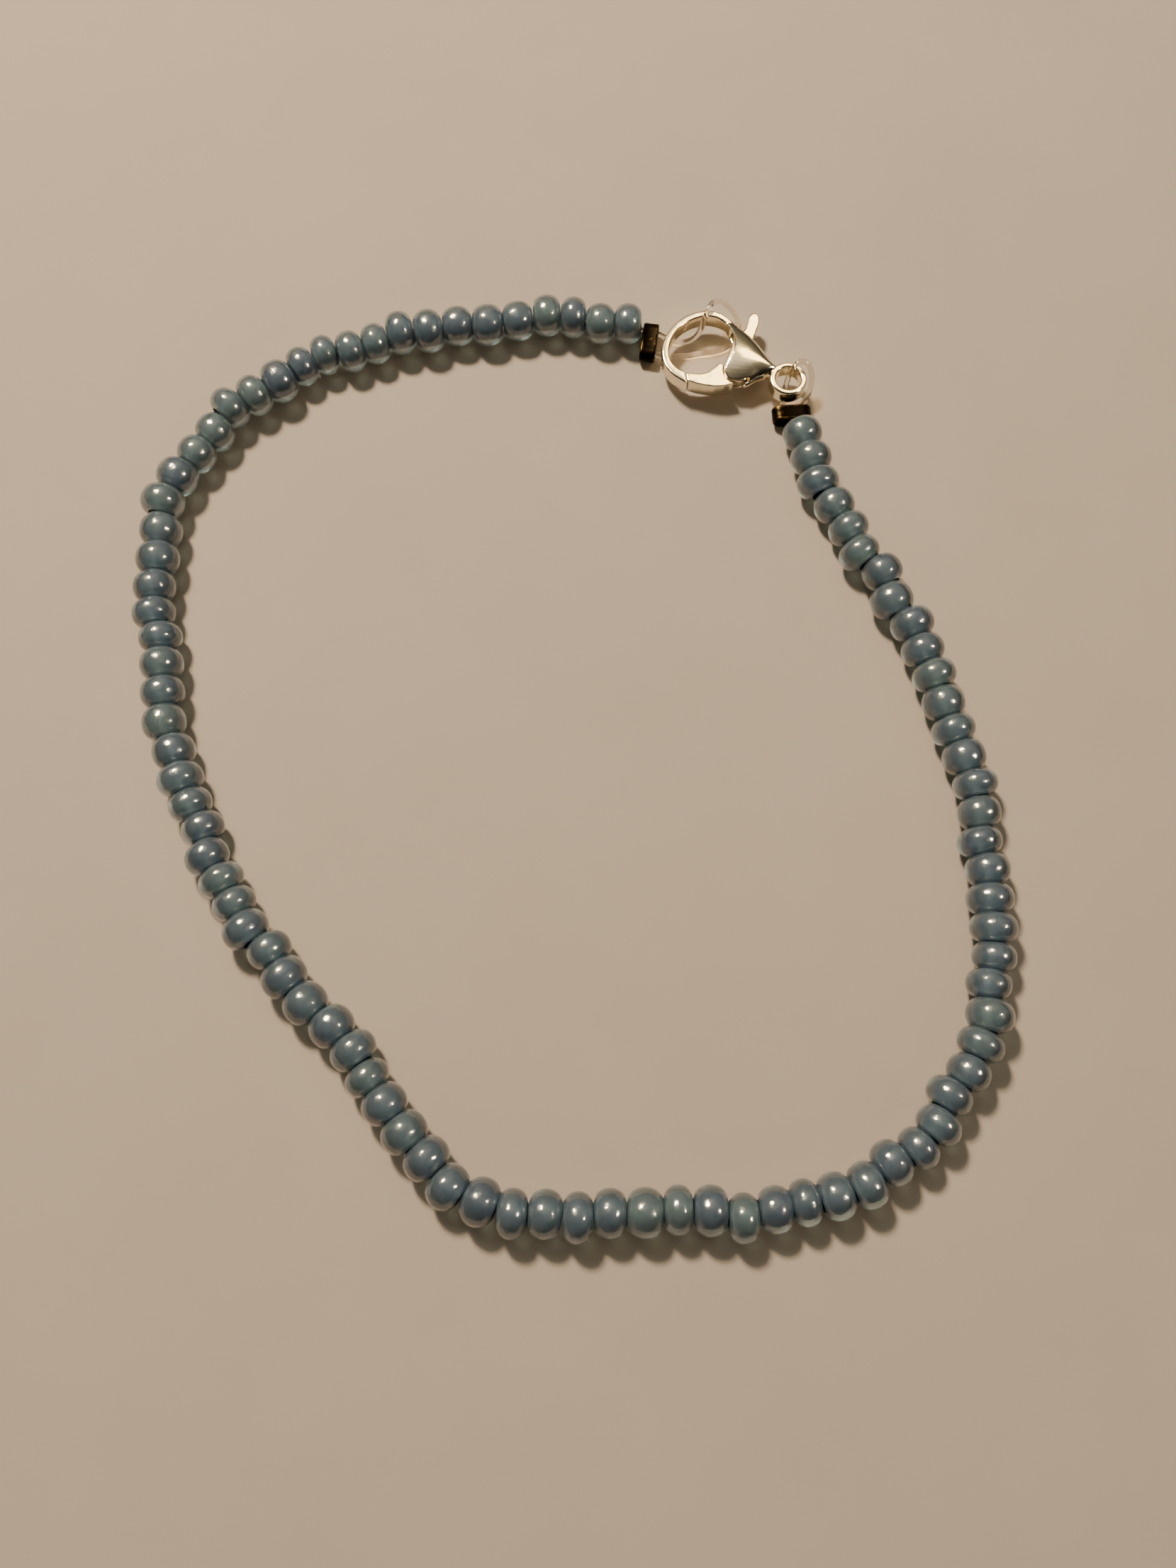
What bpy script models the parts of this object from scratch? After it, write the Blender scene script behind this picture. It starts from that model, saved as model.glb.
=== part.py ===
"""A glass bead bracelet lying closed on a flat surface, fastened with a lobster claw clasp.

Units are metres and +Z is up. The surface is the plane z = 0, and the origin is under the middle
of the bracelet. The clasp is drawn in a frame of its own, in millimetres: its origin is the middle
of the clasp's eye, and the hook points along -X.
"""

import math

import bmesh
import bpy
import numpy as np
from mathutils import Matrix, Vector

MM = 0.001

# Beads: size 8/0 seed beads, which are all a little different
BEAD_COUNT = 88
BEADS_ON_LEFT = 44
BEAD_DIAMETER = 3.05 * MM
BEAD_SPREAD = 0.028
BEAD_LENGTH_SPREAD = 0.07
BEAD_SIDE_STEP = 0.22 * MM
BEAD_TURN = math.radians(2.2)
MOST_UNEVEN = 1.6
BEAD_SIDES = 12
BEAD_SEED = 389671
THREAD_DIAMETER = 0.4 * MM
THREAD_STUB = 0.06 * MM

# A bead's profile: (share of half its length, share of its radius) from the face to the waist
FACE_AT = (0.83, 0.56)
WAIST_AT = (0.45, 1.0)

# How finely a smooth curve is read, and how far to each side of a bead its heading is taken
CURVE_SAMPLES = 40
STRING_POINT_SPACING = 0.05
HEADING_REACH = 0.5 * MM

# The line of the bead string in plan, in millimetres, from the clasp's hook side round the left,
# the bottom and the right to the clasp's eye side
STRING_ROUTE = [
    (4.8, 31.9),
    (-3.6, 31.85),
    (-11.9, 30.6),
    (-19.5, 27.7),
    (-25.6, 22.4),
    (-28.6, 14.9),
    (-28.1, 6.6),
    (-26.4, -1.5),
    (-23.3, -9.1),
    (-18.8, -15.9),
    (-13.5, -22.0),
    (-8.3, -28.6),
    (-4.9, -31.0),
    (-0.7, -31.8),
    (7.5, -31.9),
    (15.2, -31.5),
    (22.0, -28.1),
    (26.6, -21.7),
    (28.3, -14.0),
    (27.8, -6.3),
    (26.1, 1.4),
    (23.4, 9.2),
    (19.4, 16.3),
    (17.5, 22.4),
]

# Crimps: short tubes pressed flat over the cord
CRIMP_LENGTH = 1.15 * MM
CRIMP_THICKNESS = 1.3 * MM
CRIMP_WALL = 0.33 * MM
CRIMP_HEIGHT = 0.72 * MM
CRIMP_CORNER = 0.08 * MM
CRIMP_BEND_POINTS = 6
LEFT_CRIMP = {"middle": (6.4, 30.52), "width": 3.15, "angle": -8.5}
RIGHT_CRIMP = {"middle": (16.8, 24.35), "width": 2.9, "angle": 93.0}

# Cord loops between the crimps and the clasp, as points in millimetres
CORD_DIAMETER = 0.4 * MM
CORD_POINT_SPACING = 0.32 * MM
HOOK_LOOP_ROUTE = [
    (6.60, 31.36, 0.72),
    (7.20, 31.26, 0.70),
    (7.65, 31.15, 0.44),
    (8.25, 30.98, 0.24),
    (9.05, 30.88, 0.30),
    (9.80, 30.90, 0.85),
    (10.22, 31.06, 1.75),
    (10.48, 31.45, 2.62),
    (10.85, 32.20, 2.92),
    (11.25, 32.80, 2.55),
    (11.95, 33.15, 1.90),
    (12.75, 32.85, 1.15),
    (13.20, 32.15, 0.50),
    (13.05, 31.35, 0.24),
    (12.30, 30.55, 0.24),
    (11.35, 30.10, 0.24),
    (10.30, 29.95, 0.24),
    (9.30, 29.75, 0.24),
    (8.30, 29.68, 0.24),
    (7.70, 29.66, 0.26),
    (7.38, 29.62, 0.36),
    (7.10, 29.58, 0.58),
    (6.86, 29.59, 0.72),
    (6.36, 29.67, 0.72),
]
EYE_LOOP_ROUTE = [
    (17.54, 24.45, 0.72),
    (17.54, 25.02, 0.74),
    (17.85, 25.50, 1.00),
    (18.17, 26.20, 1.55),
    (18.14, 27.00, 2.25),
    (17.75, 27.50, 2.72),
    (17.20, 27.45, 2.82),
    (16.75, 27.10, 2.50),
    (16.52, 26.82, 1.90),
    (16.44, 26.65, 1.20),
    (16.42, 26.30, 0.55),
    (16.34, 25.80, 0.27),
    (16.20, 25.38, 0.28),
    (16.08, 25.16, 0.46),
    (16.03, 24.96, 0.68),
    (16.04, 24.75, 0.73),
    (16.04, 24.40, 0.72),
]

# The clasp's place
CLASP_EYE = (16.48, 26.7)
CLASP_ANGLE = -14.0
CLASP_HEIGHT = 1.55 * MM

# The clasp's parts, in millimetres in its own frame
EYE_RADIUS = 1.32
EYE_HOLE_RADIUS = 0.88
EYE_TALL = 1.6
EYE_SIDES = 24
EYE_POINTS = 12
EYE_SQUARENESS = 4.0
PIVOT = (-3.6, -0.35)
PIVOT_RADIUS = 0.24
PIVOT_SIDES = 12
PIVOT_HOLE_RADIUS = 0.36
PIVOT_HOLE_SIDES = 16
SLOT_TALL = 1.0
POST_TALL = SLOT_TALL + 0.3
CUTTER_TALL = 4.0

# The cheeks' ribs from the neck to the hook: spine point, lower point, half thickness
CHEEK_RIBS = [
    ((-1.02, 0.86), (-1.12, 0.20), 0.50),
    ((-1.50, 1.24), (-1.55, -0.18), 0.66),
    ((-2.18, 1.97), (-2.15, -0.58), 0.84),
    ((-3.07, 2.82), (-2.85, -1.03), 0.96),
    ((-4.04, 3.52), (-3.60, -1.40), 1.00),
    ((-5.11, 4.02), (-4.40, -1.60), 1.00),
    ((-6.10, 4.18), (-5.30, -1.60), 0.96),
    ((-6.90, 4.05), (-6.10, -1.30), 0.86),
]
RIB_POINTS = 20
RIB_SQUARENESS = 2.6

# The cheeks end beside the hook's hole in a hollow edge, from the spine down to an arc round the
# pivot. The corners beyond it close the outline of what is cut away.
CRESCENT = [
    (-6.75, 4.02),
    (-5.90, 3.84),
    (-5.12, 3.12),
    (-4.60, 2.32),
    (-4.38, 1.55),
    (-4.40, 0.75),
]
CHEEK_ARC_RADIUS = 1.06
CHEEK_ARC_ANGLES = (168.0, 263.5)
CHEEK_ARC_STEPS = 8
BEYOND_CHEEKS = [(-3.60, -2.60), (-8.20, -2.60), (-8.20, 5.00), (-6.80, 5.00)]

# The hook: the middle line of its band, with the band's width and height, from inside the cheeks
# to the tip
HOOK_BAND = [
    (-4.60, 3.05, 0.46, 0.90),
    (-5.30, 3.55, 0.46, 1.15),
    (-6.10, 3.84, 0.46, 1.55),
    (-6.86, 3.82, 0.46, 1.70),
    (-7.62, 3.50, 0.46, 1.70),
    (-8.36, 2.92, 0.46, 1.70),
    (-8.97, 2.05, 0.46, 1.70),
    (-9.27, 1.00, 0.47, 1.70),
    (-9.25, 0.00, 0.48, 1.70),
    (-8.90, -0.72, 0.52, 1.70),
    (-8.28, -1.28, 0.62, 1.70),
    (-7.36, -1.53, 0.82, 1.70),
]
BAND_SPACING = 0.42
BAND_POINTS = 12
BAND_SQUARENESS = 5.0

# The slot between the cheeks, which the lever turns in
SLOT_OUTLINE = [
    (-5.60, -2.40),
    (-3.35, -2.40),
    (-3.05, -1.30),
    (-2.68, -0.75),
    (-2.55, 0.10),
    (-2.20, 1.25),
    (-1.95, 2.05),
    (-1.80, 3.40),
    (-4.45, 4.90),
    (-4.45, 3.10),
    (-5.30, 2.95),
]

# The lever's thick gate: its edges, and its tip and root, which are arcs round the pivot
GATE_TALL = 1.7
GATE_ROUNDING = 0.1
GATE_TIP_RADIUS = 3.75
GATE_TIP_ANGLES = (-165.0, -155.0)
GATE_ROOT_RADIUS = 1.2
GATE_ROOT_ANGLES = (262.3, 173.8)
GATE_UPPER_EDGE = [(-5.22, 0.08), (-5.62, -0.45), (-5.98, -0.92), (-6.55, -1.22)]
GATE_LOWER_EDGE = [(-5.95, -1.95), (-4.90, -1.80)]

# The lever's plate, which runs between the cheeks from a round hub to the thumb tab
PLATE_TALL = 0.76
PLATE_ROUNDING = 0.06
HUB_RADIUS = 0.75
HUB_ANGLES = (30.0, -110.0)
PLATE_CORNER = (-4.60, -1.25)
PLATE_OUTLINE = [
    (-5.10, -0.10),
    (-4.95, 0.60),
    (-4.82, 1.50),
    (-4.70, 2.30),
    (-4.30, 2.85),
    (-3.98, 3.30),
    (-3.93, 3.85),
    (-3.88, 4.75),
    (-3.62, 5.02),
    (-3.28, 4.98),
    (-3.06, 4.40),
    (-3.12, 3.20),
    (-3.18, 2.60),
    (-3.05, 0.60),
]

# Finishes
FINISHES = {
    "blue_glass": {"colour": (0.23, 0.37, 0.46), "roughness": 0.12, "metallic": 0.0, "clear": 0.0},
    "dark_bronze": {"colour": (0.16, 0.12, 0.08), "roughness": 0.38, "metallic": 1.0, "clear": 0.0},
    "clear_nylon": {"colour": (0.80, 0.78, 0.74), "roughness": 0.15, "metallic": 0.0, "clear": 0.8},
    "silver_plate": {"colour": (0.82, 0.79, 0.73), "roughness": 0.18, "metallic": 1.0, "clear": 0.0},
}
SHARP_ANGLE = math.radians(35)


def clear_scene():
    for thing in list(bpy.data.objects):
        bpy.data.objects.remove(thing)


def material(name):
    finish = FINISHES[name]
    made = bpy.data.materials.new(name)
    made.use_nodes = True
    shader = made.node_tree.nodes["Principled BSDF"]
    shader.inputs["Base Color"].default_value = (*finish["colour"], 1.0)
    shader.inputs["Roughness"].default_value = finish["roughness"]
    shader.inputs["Metallic"].default_value = finish["metallic"]
    shader.inputs["Transmission Weight"].default_value = finish["clear"]
    made.diffuse_color = (*finish["colour"], 1.0)
    made.roughness = finish["roughness"]
    made.metallic = finish["metallic"]
    return made


def mesh_object(name, points, faces, finish=None):
    mesh = bpy.data.meshes.new(name)
    mesh.from_pydata([tuple(point) for point in points], [], faces)
    bm = bmesh.new()
    bm.from_mesh(mesh)
    bmesh.ops.recalc_face_normals(bm, faces=bm.faces)
    bm.to_mesh(mesh)
    bm.free()
    made = bpy.data.objects.new(name, mesh)
    bpy.context.scene.collection.objects.link(made)
    if finish:
        mesh.materials.append(finish)
        mesh.shade_smooth()
        mesh.set_sharp_from_angle(angle=SHARP_ANGLE)
    return made


def joined_rings(rings, closed=False):
    """Points and faces of a skin over rings of equal size, capped at both ends unless closed."""
    size = len(rings[0])
    points = [point for ring in rings for point in ring]
    faces = []
    for k in range(len(rings) if closed else len(rings) - 1):
        here = k * size
        there = (k + 1) % len(rings) * size
        for i in range(size):
            j = (i + 1) % size
            faces.append((here + i, here + j, there + j, there + i))
    if not closed:
        faces.append(tuple(range(size)))
        faces.append(tuple(range(len(points) - size, len(points))))
    return points, faces


def blend(first, last, first_knot, last_knot, at):
    """Goes straight from the first point to the last as at goes from knot to knot."""
    share = (at - first_knot) / (last_knot - first_knot)
    return first * (1 - share) + last * share


def curve_piece(a, b, c, d):
    """Points after b up to c on the centripetal Catmull-Rom curve through four points."""
    steps = [math.dist(here, there) ** 0.5 for here, there in ((a, b), (b, c), (c, d))]
    knot_a, knot_b, knot_c, knot_d = np.cumsum([0.0, *steps])
    at = np.linspace(knot_b, knot_c, CURVE_SAMPLES + 1)[1:, None]
    ab = blend(a, b, knot_a, knot_b, at)
    bc = blend(b, c, knot_b, knot_c, at)
    cd = blend(c, d, knot_c, knot_d, at)
    abc = blend(ab, bc, knot_a, knot_c, at)
    bcd = blend(bc, cd, knot_b, knot_d, at)
    return blend(abc, bcd, knot_b, knot_c, at)


def smooth_path(points, spacing):
    """Points evenly spaced along a smooth curve through the given ones."""
    given = np.array(points, float)
    given = np.vstack([2 * given[0] - given[1], given, 2 * given[-1] - given[-2]])
    pieces = [curve_piece(*group) for group in zip(given, given[1:], given[2:], given[3:])]
    dense = np.vstack([given[1:2], *pieces])
    along = np.concatenate([[0.0], np.cumsum(np.linalg.norm(np.diff(dense, axis=0), axis=1))])
    places = np.linspace(0.0, along[-1], max(2, round(along[-1] / spacing) + 1))
    return np.column_stack([np.interp(places, along, column) for column in dense.T])


def bead_rows():
    """One row per bead: middle, direction along the string, radius and half length."""
    chance = np.random.default_rng(BEAD_SEED)

    def uneven(spread):
        return spread * np.clip(chance.normal(size=BEAD_COUNT), -MOST_UNEVEN, MOST_UNEVEN)

    line = smooth_path(STRING_ROUTE, STRING_POINT_SPACING) * MM
    steps = np.linalg.norm(np.diff(line, axis=0), axis=1)
    along = np.concatenate([[0.0], np.cumsum(steps)])
    lengths = 1 + uneven(BEAD_LENGTH_SPREAD)
    sizes = 1 + uneven(BEAD_SPREAD)
    side_steps = uneven(BEAD_SIDE_STEP)
    turns = uneven(BEAD_TURN)
    edges = np.concatenate([[0.0], np.cumsum(lengths)])
    middles = (edges[:-1] + edges[1:]) / 2
    scale = along[-1] / (middles[-1] - middles[0])
    rows = []
    for middle, length, size, side_step, turn in zip(middles, lengths, sizes, side_steps, turns):
        place = (middle - middles[0]) * scale
        x, y = (np.interp(place, along, line[:, k]) for k in (0, 1))
        ahead = [np.interp(place + HEADING_REACH, along, line[:, k]) for k in (0, 1)]
        behind = [np.interp(place - HEADING_REACH, along, line[:, k]) for k in (0, 1)]
        heading = math.atan2(ahead[1] - behind[1], ahead[0] - behind[0])
        radius = BEAD_DIAMETER / 2 * size
        side = Vector((-math.sin(heading), math.cos(heading), 0))
        centre = Vector((x, y, radius)) + side * side_step
        direction = Vector((math.cos(heading + turn), math.sin(heading + turn), 0))
        rows.append((centre, direction, radius, length * scale / 2))
    return rows


def ring(centre, direction, radius):
    """A bead's ring: a regular polygon with a flat side down, whose sides touch the radius."""
    side = Vector((-direction.y, direction.x, 0))
    reach = radius / math.cos(math.pi / BEAD_SIDES)
    angles = [2 * math.pi * (k + 0.5) / BEAD_SIDES for k in range(BEAD_SIDES)]
    return [centre + (side * math.cos(a) + Vector((0, 0, math.sin(a)))) * reach for a in angles]


def make_bead_string(name, rows, finish):
    """Beads and the thread through them as one skin: faces, waist and thread in turn."""
    rings = []
    thread = THREAD_DIAMETER / 2
    for place, (centre, direction, radius, half) in enumerate(rows):
        if place == 0:
            reach = half * FACE_AT[0] + THREAD_STUB
            rings.append(ring(centre - direction * reach, direction, thread))
        for share, part in (
            (-FACE_AT[0], FACE_AT[1]),
            (-WAIST_AT[0], WAIST_AT[1]),
            WAIST_AT,
            FACE_AT,
        ):
            rings.append(ring(centre + direction * half * share, direction, radius * part))
        if place == len(rows) - 1:
            reach = half * FACE_AT[0] + THREAD_STUB
            rings.append(ring(centre + direction * reach, direction, thread))
            continue
        next_centre, next_direction, _, next_half = rows[place + 1]
        near = centre + direction * half * FACE_AT[0]
        far = next_centre - next_direction * next_half * FACE_AT[0]
        between = (direction + next_direction).normalized()
        rings.append(ring((near + far) / 2, between, thread))
    return mesh_object(name, *joined_rings(rings), finish)


def stadium(width, thickness):
    """Outline of a flattened tube's section, anticlockwise."""
    radius = thickness / 2
    outline = []
    for sign in (1, -1):
        for k in range(CRIMP_BEND_POINTS + 1):
            angle = math.pi * (k / CRIMP_BEND_POINTS - 0.5)
            x = sign * (width / 2 - radius + radius * math.cos(angle))
            outline.append((x, sign * radius * math.sin(angle)))
    return outline


def make_crimp(name, place, finish):
    """A tube pressed flat, open at both ends, with the cord's way through it."""
    width = place["width"] * MM
    outer = stadium(width, CRIMP_THICKNESS)
    inner = stadium(width - 2 * CRIMP_WALL, CRIMP_THICKNESS - 2 * CRIMP_WALL)
    slim = stadium(width - 2 * CRIMP_CORNER, CRIMP_THICKNESS - 2 * CRIMP_CORNER)
    half = CRIMP_LENGTH / 2
    shoulder = half - CRIMP_CORNER
    sections = [(slim, -half), (outer, -shoulder), (outer, shoulder), (slim, half)]
    sections += [(inner, half), (inner, -half)]
    rings = [[Vector((x, y, z)) for x, y in outline] for outline, z in sections]
    made = mesh_object(name, *joined_rings(rings, closed=True), finish)
    upright = Matrix(((0, 0, 1, 0), (1, 0, 0, 0), (0, 1, 0, 0), (0, 0, 0, 1)))
    turn = Matrix.Rotation(math.radians(place["angle"]), 4, "Z")
    x, y = place["middle"]
    made.data.transform(upright)
    made.matrix_world = Matrix.Translation((x * MM, y * MM, CRIMP_HEIGHT)) @ turn
    return made


def make_cord(name, route, finish):
    """A round cord along a smooth curve through the route's points."""
    line = smooth_path(np.array(route) * MM, CORD_POINT_SPACING)
    curve = bpy.data.curves.new(name, "CURVE")
    curve.dimensions = "3D"
    curve.bevel_depth = CORD_DIAMETER / 2
    curve.bevel_resolution = 2
    curve.use_fill_caps = True
    spline = curve.splines.new("POLY")
    spline.points.add(len(line) - 1)
    for point, where in zip(spline.points, line):
        point.co = (*where, 1.0)
    curve.materials.append(finish)
    made = bpy.data.objects.new(name, curve)
    bpy.context.scene.collection.objects.link(made)
    return made


def arc(centre, radius, first, last, steps):
    """Points along an arc, from the first angle to the last, in degrees."""
    angles = np.radians(np.linspace(first, last, steps + 1))
    return [(centre[0] + radius * math.cos(a), centre[1] + radius * math.sin(a)) for a in angles]


def circle(centre, radius, sides):
    return arc(centre, radius, 0.0, 360.0 - 360.0 / sides, sides - 1)


def prism(name, outline, tall, rounding=0.0, finish=None):
    """A flat shape of even height, centred on the clasp's middle plane, edges rounded if asked."""
    size = len(outline)
    points = [(x, y, z) for z in (-tall / 2, tall / 2) for x, y in outline]
    faces = [tuple(range(size)), tuple(range(size, 2 * size))]
    faces += [(k, (k + 1) % size, size + (k + 1) % size, size + k) for k in range(size)]
    made = mesh_object(name, points, faces, finish)
    if rounding:
        bm = bmesh.new()
        bm.from_mesh(made.data)
        rims = [e for e in bm.edges if abs(e.verts[0].co.z - e.verts[1].co.z) < tall / 4]
        bmesh.ops.bevel(bm, geom=rims, offset=rounding, segments=2, profile=0.5, affect="EDGES")
        bm.to_mesh(made.data)
        bm.free()
    return made


def rounded_section(width, tall, points, squareness):
    """Half width and height pairs round a section that is between an ellipse and a box."""
    section = []
    for k in range(points):
        angle = 2 * math.pi * (k + 0.5) / points
        c, s = math.cos(angle), math.sin(angle)
        across = math.copysign(abs(c) ** (2 / squareness), c) * width / 2
        up = math.copysign(abs(s) ** (2 / squareness), s) * tall / 2
        section.append((across, up))
    return section


def make_cheeks(finish):
    """The drop-shaped shell, as ribs laid from the neck towards the hook."""
    rings = []
    for spine, lower, half in CHEEK_RIBS:
        across = Vector((spine[0] - lower[0], spine[1] - lower[1], 0))
        middle = Vector(((spine[0] + lower[0]) / 2, (spine[1] + lower[1]) / 2, 0))
        outline = rounded_section(across.length, 2 * half, RIB_POINTS, RIB_SQUARENESS)
        rings.append([middle + across.normalized() * a + Vector((0, 0, b)) for a, b in outline])
    return mesh_object("clasp_body", *joined_rings(rings), finish)


def make_band(name, line):
    """A band along a line of points with widths and heights, on edge to the clasp's plane."""
    rows = smooth_path(line, BAND_SPACING)
    rings = []
    for k, (x, y, width, tall) in enumerate(rows):
        before = rows[max(0, k - 1)]
        after = rows[min(len(rows) - 1, k + 1)]
        heading = Vector((after[0] - before[0], after[1] - before[1], 0)).normalized()
        side = Vector((-heading.y, heading.x, 0))
        section = rounded_section(width, tall, BAND_POINTS, BAND_SQUARENESS)
        rings.append([Vector((x, y, 0)) + side * a + Vector((0, 0, b)) for a, b in section])
    return mesh_object(name, *joined_rings(rings))


def make_eye(name):
    """The clasp's eye: a short tube with rounded rims."""
    width = EYE_RADIUS - EYE_HOLE_RADIUS
    section = rounded_section(width, EYE_TALL, EYE_POINTS, EYE_SQUARENESS)
    rings = []
    for k in range(EYE_SIDES):
        angle = 2 * math.pi * (k + 0.5) / EYE_SIDES
        outward = Vector((math.cos(angle), math.sin(angle), 0))
        middle = EYE_HOLE_RADIUS + width / 2
        rings.append([outward * (middle + a) + Vector((0, 0, b)) for a, b in section])
    return mesh_object(name, *joined_rings(rings, closed=True))


def boolean(target, other, operation):
    """Joins the other shape to the target or cuts it away, and hides the other shape."""
    modifier = target.modifiers.new(other.name, "BOOLEAN")
    modifier.operation = operation
    modifier.object = other
    other.hide_render = True
    other.display_type = "WIRE"


def place_on_clasp(thing, frame):
    """Moves a shape drawn in the clasp's millimetres to its place on the bracelet."""
    thing.data.transform(Matrix.Scale(MM, 4))
    thing.matrix_world = frame


def clasp_frame():
    x, y = CLASP_EYE
    turn = Matrix.Rotation(math.radians(CLASP_ANGLE), 4, "Z")
    return Matrix.Translation((x * MM, y * MM, CLASP_HEIGHT)) @ turn


def make_clasp_body(finish):
    """Cheeks, hook and eye as one casting, slotted for the lever, with the pivot inside."""
    body = make_cheeks(finish)
    cheek_arc = arc(PIVOT, CHEEK_ARC_RADIUS, *CHEEK_ARC_ANGLES, CHEEK_ARC_STEPS)
    beside = prism("hook_side_cutter", CRESCENT + cheek_arc + BEYOND_CHEEKS, CUTTER_TALL)
    hook = make_band("hook_band", HOOK_BAND)
    eye = make_eye("eye_ring")
    bore = prism("eye_cutter", circle((0, 0), EYE_HOLE_RADIUS, EYE_SIDES), CUTTER_TALL)
    slot = prism("slot_cutter", SLOT_OUTLINE, SLOT_TALL)
    post = prism("pivot_post", circle(PIVOT, PIVOT_RADIUS, PIVOT_SIDES), POST_TALL)
    boolean(body, beside, "DIFFERENCE")
    boolean(body, bore, "DIFFERENCE")
    boolean(body, hook, "UNION")
    boolean(body, eye, "UNION")
    boolean(body, slot, "DIFFERENCE")
    boolean(body, post, "UNION")
    return [body, beside, hook, eye, bore, slot, post]


def make_clasp_lever(finish):
    """The gate that closes the hook, in one piece with the plate and the thumb tab."""
    tip = arc(PIVOT, GATE_TIP_RADIUS, *GATE_TIP_ANGLES, 2)
    root = arc(PIVOT, GATE_ROOT_RADIUS, *GATE_ROOT_ANGLES, 6)
    gate_outline = GATE_UPPER_EDGE + tip + GATE_LOWER_EDGE + root
    lever = prism("clasp_lever", gate_outline, GATE_TALL, GATE_ROUNDING, finish)
    hub = arc(PIVOT, HUB_RADIUS, *HUB_ANGLES, 6)
    plate = prism("lever_plate", PLATE_OUTLINE + hub + [PLATE_CORNER], PLATE_TALL, PLATE_ROUNDING)
    hole = circle(PIVOT, PIVOT_HOLE_RADIUS, PIVOT_HOLE_SIDES)
    pivot_cutter = prism("pivot_cutter", hole, CUTTER_TALL)
    boolean(lever, plate, "UNION")
    boolean(lever, pivot_cutter, "DIFFERENCE")
    return [lever, plate, pivot_cutter]


def main():
    clear_scene()
    glass = material("blue_glass")
    bronze = material("dark_bronze")
    nylon = material("clear_nylon")
    silver = material("silver_plate")
    rows = bead_rows()
    make_bead_string("bead_string_left", rows[:BEADS_ON_LEFT], glass)
    make_bead_string("bead_string_right", rows[BEADS_ON_LEFT:], glass)
    make_crimp("crimp_left", LEFT_CRIMP, bronze)
    make_crimp("crimp_right", RIGHT_CRIMP, bronze)
    make_cord("hook_loop", HOOK_LOOP_ROUTE, nylon)
    make_cord("eye_loop", EYE_LOOP_ROUTE, nylon)
    frame = clasp_frame()
    for shape in make_clasp_body(silver) + make_clasp_lever(silver):
        place_on_clasp(shape, frame)


main()
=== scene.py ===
# %% [markdown]
# # A glass bead bracelet
#
# This lesson dresses a small jewel: 88 lined seed beads on clear cord, two pressed crimps and a
# silver lobster claw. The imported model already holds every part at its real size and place. Here
# each gets a finer shape over its solid, with the surface and the finish of the real one.

# %% Load the frame
import math

import bmesh
import bpy
import numpy as np
from mathutils import Matrix, Vector


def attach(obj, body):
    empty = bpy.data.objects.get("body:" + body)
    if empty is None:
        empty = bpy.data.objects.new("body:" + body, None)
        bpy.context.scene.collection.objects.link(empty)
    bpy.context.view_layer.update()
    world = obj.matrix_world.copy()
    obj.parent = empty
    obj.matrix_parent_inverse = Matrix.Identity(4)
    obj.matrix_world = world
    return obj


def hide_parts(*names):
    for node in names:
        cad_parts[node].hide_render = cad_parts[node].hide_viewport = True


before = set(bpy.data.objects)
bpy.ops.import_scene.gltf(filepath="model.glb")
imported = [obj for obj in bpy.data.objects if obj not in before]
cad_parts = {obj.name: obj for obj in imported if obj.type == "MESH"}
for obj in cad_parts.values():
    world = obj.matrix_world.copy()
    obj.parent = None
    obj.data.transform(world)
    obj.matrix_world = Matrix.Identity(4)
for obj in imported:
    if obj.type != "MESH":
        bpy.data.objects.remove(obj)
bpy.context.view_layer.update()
MM = 0.001
print("nodes:", sorted(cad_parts))

# %% [markdown]
# ## Tools for every cell
#
# Colours are written as on a screen, in hex, and turned into the linear values that a shader needs.
# One small function adds a node to any tree, shader or geometry: its settings first, then its
# inputs, each a plain value or the socket of another node.


# %% Colours and nodes
def colour(code):
    """A colour from its sRGB hex code, as linear red, green, blue and an alpha of 1."""
    parts = [int(code[k : k + 2], 16) / 255 for k in (1, 3, 5)]
    return (*(c / 12.92 if c <= 0.04045 else ((c + 0.055) / 1.055) ** 2.4 for c in parts), 1.0)


def add_node(tree, kind, settings=None, **inputs):
    """Adds a node. An input is named by its socket, with _ for a space, or by _ and its number."""
    node = tree.nodes.new(kind)
    for name, value in (settings or {}).items():
        setattr(node, name, value)
    for name, value in inputs.items():
        key = int(name[1:]) if name[0] == "_" else name.replace("_", " ")
        if isinstance(value, bpy.types.NodeSocket):
            tree.links.new(value, node.inputs[key])
        else:
            node.inputs[key].default_value = value
    return node


def new_material(name):
    """An empty material: its node tree and its output node."""
    made = bpy.data.materials.new(name)
    made.use_nodes = True
    made.node_tree.nodes.clear()
    return made, made.node_tree, made.node_tree.nodes.new("ShaderNodeOutputMaterial")


def new_object(name, data):
    made = bpy.data.objects.new(name, data)
    bpy.context.scene.collection.objects.link(made)
    return made


# %% [markdown]
# ## The camera
#
# The photograph is taken from above, 17 degrees off straight down, about 95 mm over the table. Its
# picture is 1659 by 2212 pixels. A focal length in pixels, over the picture's height in pixels, is
# the lens over the sensor's long side.

# %% Camera
PICTURE_HEIGHT = 2212
FOCAL_PIXELS = 2000
SENSOR = 36.0
CAMERA_PLACE = (1.82 * MM, -32.1 * MM, 92.58 * MM)
CAMERA_TILT = math.radians(17)

camera = new_object("camera", bpy.data.cameras.new("camera"))
bpy.context.scene.camera = camera
camera.location = CAMERA_PLACE
camera.rotation_euler = (CAMERA_TILT, 0, 0)
camera.data.sensor_width = SENSOR
camera.data.lens = SENSOR * FOCAL_PIXELS / PICTURE_HEIGHT
camera.data.clip_start = 5 * MM
print("lens:", round(camera.data.lens, 2), "mm")

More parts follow.
